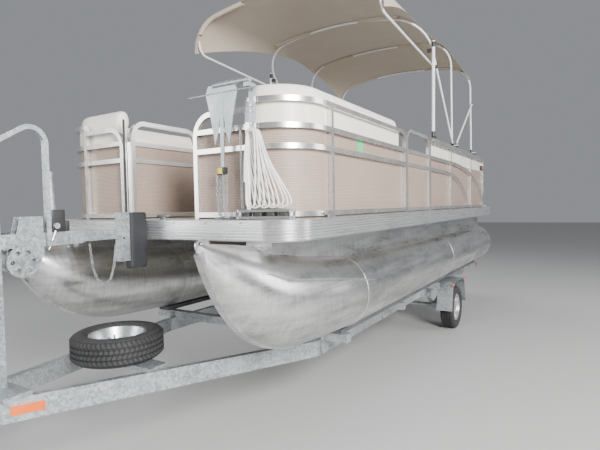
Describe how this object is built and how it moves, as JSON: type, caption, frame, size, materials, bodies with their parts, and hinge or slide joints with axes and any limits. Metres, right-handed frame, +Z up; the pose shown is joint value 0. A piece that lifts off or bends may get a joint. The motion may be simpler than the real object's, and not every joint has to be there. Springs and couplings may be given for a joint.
{
  "type": "pontoon boat on trailer",
  "caption": "Pontoon boat with fenced deck, lounge seats, helm, sun canopy and outboard motor, standing on a single-axle tube trailer with its jack down.",
  "frame": {"origin": "on the ground under the middle of the overall box", "axes": "+Z up, +Y aft from the trailer's coupler to the motor, +X port"},
  "size_m": [2.651, 9.22, 4.1955],
  "materials": {
    "galvanized": "hot-dip zinc, dull and spangled",
    "vinyl_cream": "satin marine vinyl",
    "canvas": "woven acrylic canvas",
    "frame_white": "white powder coat",
    "stainless": "polished stainless steel",
    "black_rubber": "matt rubber",
    "carpet": "bunk carpet",
    "aluminium": "mill finish, welded",
    "deck_floor": "textured vinyl floor",
    "rail_anodised": "anodised, satin",
    "fibreglass": "gel coat",
    "cowl_black": "gloss paint",
    "motor_black": "satin paint",
    "panel_taupe": "corrugated sheet, satin paint",
    "rope_white": "braided polyester",
    "seat_plastic": "rotomoulded plastic",
    "tyre_black": "rubber",
    "black_plastic": "grained",
    "lamp_amber": "prismatic reflector",
    "lamp_red": "moulded lens",
    "wheel_silver": "silver paint",
    "glass": "tinted acrylic"
  },
  "bodies": {
    "boat": {"anchor": "galvanized", "anchor_bracket": "galvanized", "bimini_struts": "frame_white", "chains": "galvanized", "ladder_treads": "black_rubber", "reflectors": "lamp_amber", "axle": "galvanized", "back_cushions": "vinyl_cream", "bimini_canvas": "canvas", "bimini_frame": "frame_white", "boarding_step": "stainless", "bow_bumper": "black_rubber", "bunks": "carpet", "chair_pedestal": "aluminium", "cleats": "stainless", "coupler": "galvanized", "cross_channels": "aluminium", "deck": "deck_floor", "fence_aft_port": "rail_anodised", "fence_aft_starboard": "rail_anodised", "fence_bow_port": "rail_anodised", "fence_bow_starboard": "rail_anodised", "fence_stern": "rail_anodised", "fenders": "galvanized", "helm_console": "fibreglass", "jack": "galvanized", "motor_pod": "aluminium", "panels_aft_port": "panel_taupe", "panels_aft_starboard": "panel_taupe", "panels_bow_port": "panel_taupe", "panels_bow_starboard": "panel_taupe", "risers": "aluminium", "rope_hank": "rope_white", "rub_rail_bow": "rail_anodised", "rub_rail_sides": "rail_anodised", "rub_rail_stern": "rail_anodised", "seat_bases": "seat_plastic", "seat_cushions": "vinyl_cream", "spare_wheel": "tyre_black", "trailer_frame": "galvanized", "trailer_lights": "lamp_red", "tube_port": "aluminium", "tube_starboard": "aluminium", "winch": "galvanized", "winch_mast": "galvanized", "windscreen": "glass"},
    "wheel_port": {"tyre_port": "tyre_black", "wheel_port": "wheel_silver"},
    "wheel_starboard": {"tyre_starboard": "tyre_black", "wheel_starboard": "wheel_silver"},
    "gate_bow": {"gate_bow": "rail_anodised"},
    "gate_port": {"gate_port": "rail_anodised"},
    "gate_starboard": {"gate_starboard": "rail_anodised"},
    "gate_stern": {"gate_stern": "rail_anodised"},
    "steering_wheel": {"steering_wheel": "black_plastic"},
    "helm_chair": {"helm_chair": "vinyl_cream"},
    "swivel_bracket": {"swivel_bracket": "motor_black"},
    "motor": {"motor_leg": "motor_black", "motor_cowl": "cowl_black"},
    "propeller": {"propeller": "motor_black"}
  },
  "joints": [
    {"name": "wheel_port_spin", "type": "hinge", "parent": "boat", "child": "wheel_port", "pos_m": [1.1, 1.73, 0.305], "axis": [1, 0, 0], "continuous": true},
    {"name": "wheel_starboard_spin", "type": "hinge", "parent": "boat", "child": "wheel_starboard", "pos_m": [-1.1, 1.73, 0.305], "axis": [1, 0, 0], "continuous": true},
    {"name": "gate_bow_swing", "type": "hinge", "parent": "boat", "child": "gate_bow", "pos_m": [-0.3765, -2.674, 2.1], "axis": [0, 0, 1], "range_deg": [-90, 0]},
    {"name": "gate_port_swing", "type": "hinge", "parent": "boat", "child": "gate_port", "pos_m": [1.2205, 0.1195, 2.1], "axis": [0, 0, 1], "range_deg": [-90, 0]},
    {"name": "gate_starboard_swing", "type": "hinge", "parent": "boat", "child": "gate_starboard", "pos_m": [-1.2205, 0.1195, 2.1], "axis": [0, 0, 1], "range_deg": [0, 90]},
    {"name": "gate_stern_swing", "type": "hinge", "parent": "boat", "child": "gate_stern", "pos_m": [1.121, 3.3255, 2.1], "axis": [0, 0, 1], "range_deg": [0, 90]},
    {"name": "steering_wheel_turn", "type": "hinge", "parent": "boat", "child": "steering_wheel", "pos_m": [-0.81, 1.045, 2.5], "axis": [0, 0.866, 0.5], "range_deg": [-720, 720]},
    {"name": "helm_chair_swivel", "type": "hinge", "parent": "boat", "child": "helm_chair", "pos_m": [-0.81, 1.63, 2.2], "axis": [0, 0, 1], "continuous": true},
    {"name": "motor_tilt", "type": "hinge", "parent": "boat", "child": "swivel_bracket", "pos_m": [0, 4.03, 1.36], "axis": [1, 0, 0], "range_deg": [0, 48]},
    {"name": "motor_steer", "type": "hinge", "parent": "swivel_bracket", "child": "motor", "pos_m": [0, 4.12, 1.2], "axis": [0, 0, 1], "range_deg": [-30, 30]},
    {"name": "propeller_spin", "type": "hinge", "parent": "motor", "child": "propeller", "pos_m": [0, 4.45, 0.66], "axis": [0, 1, 0], "continuous": true}
  ]
}
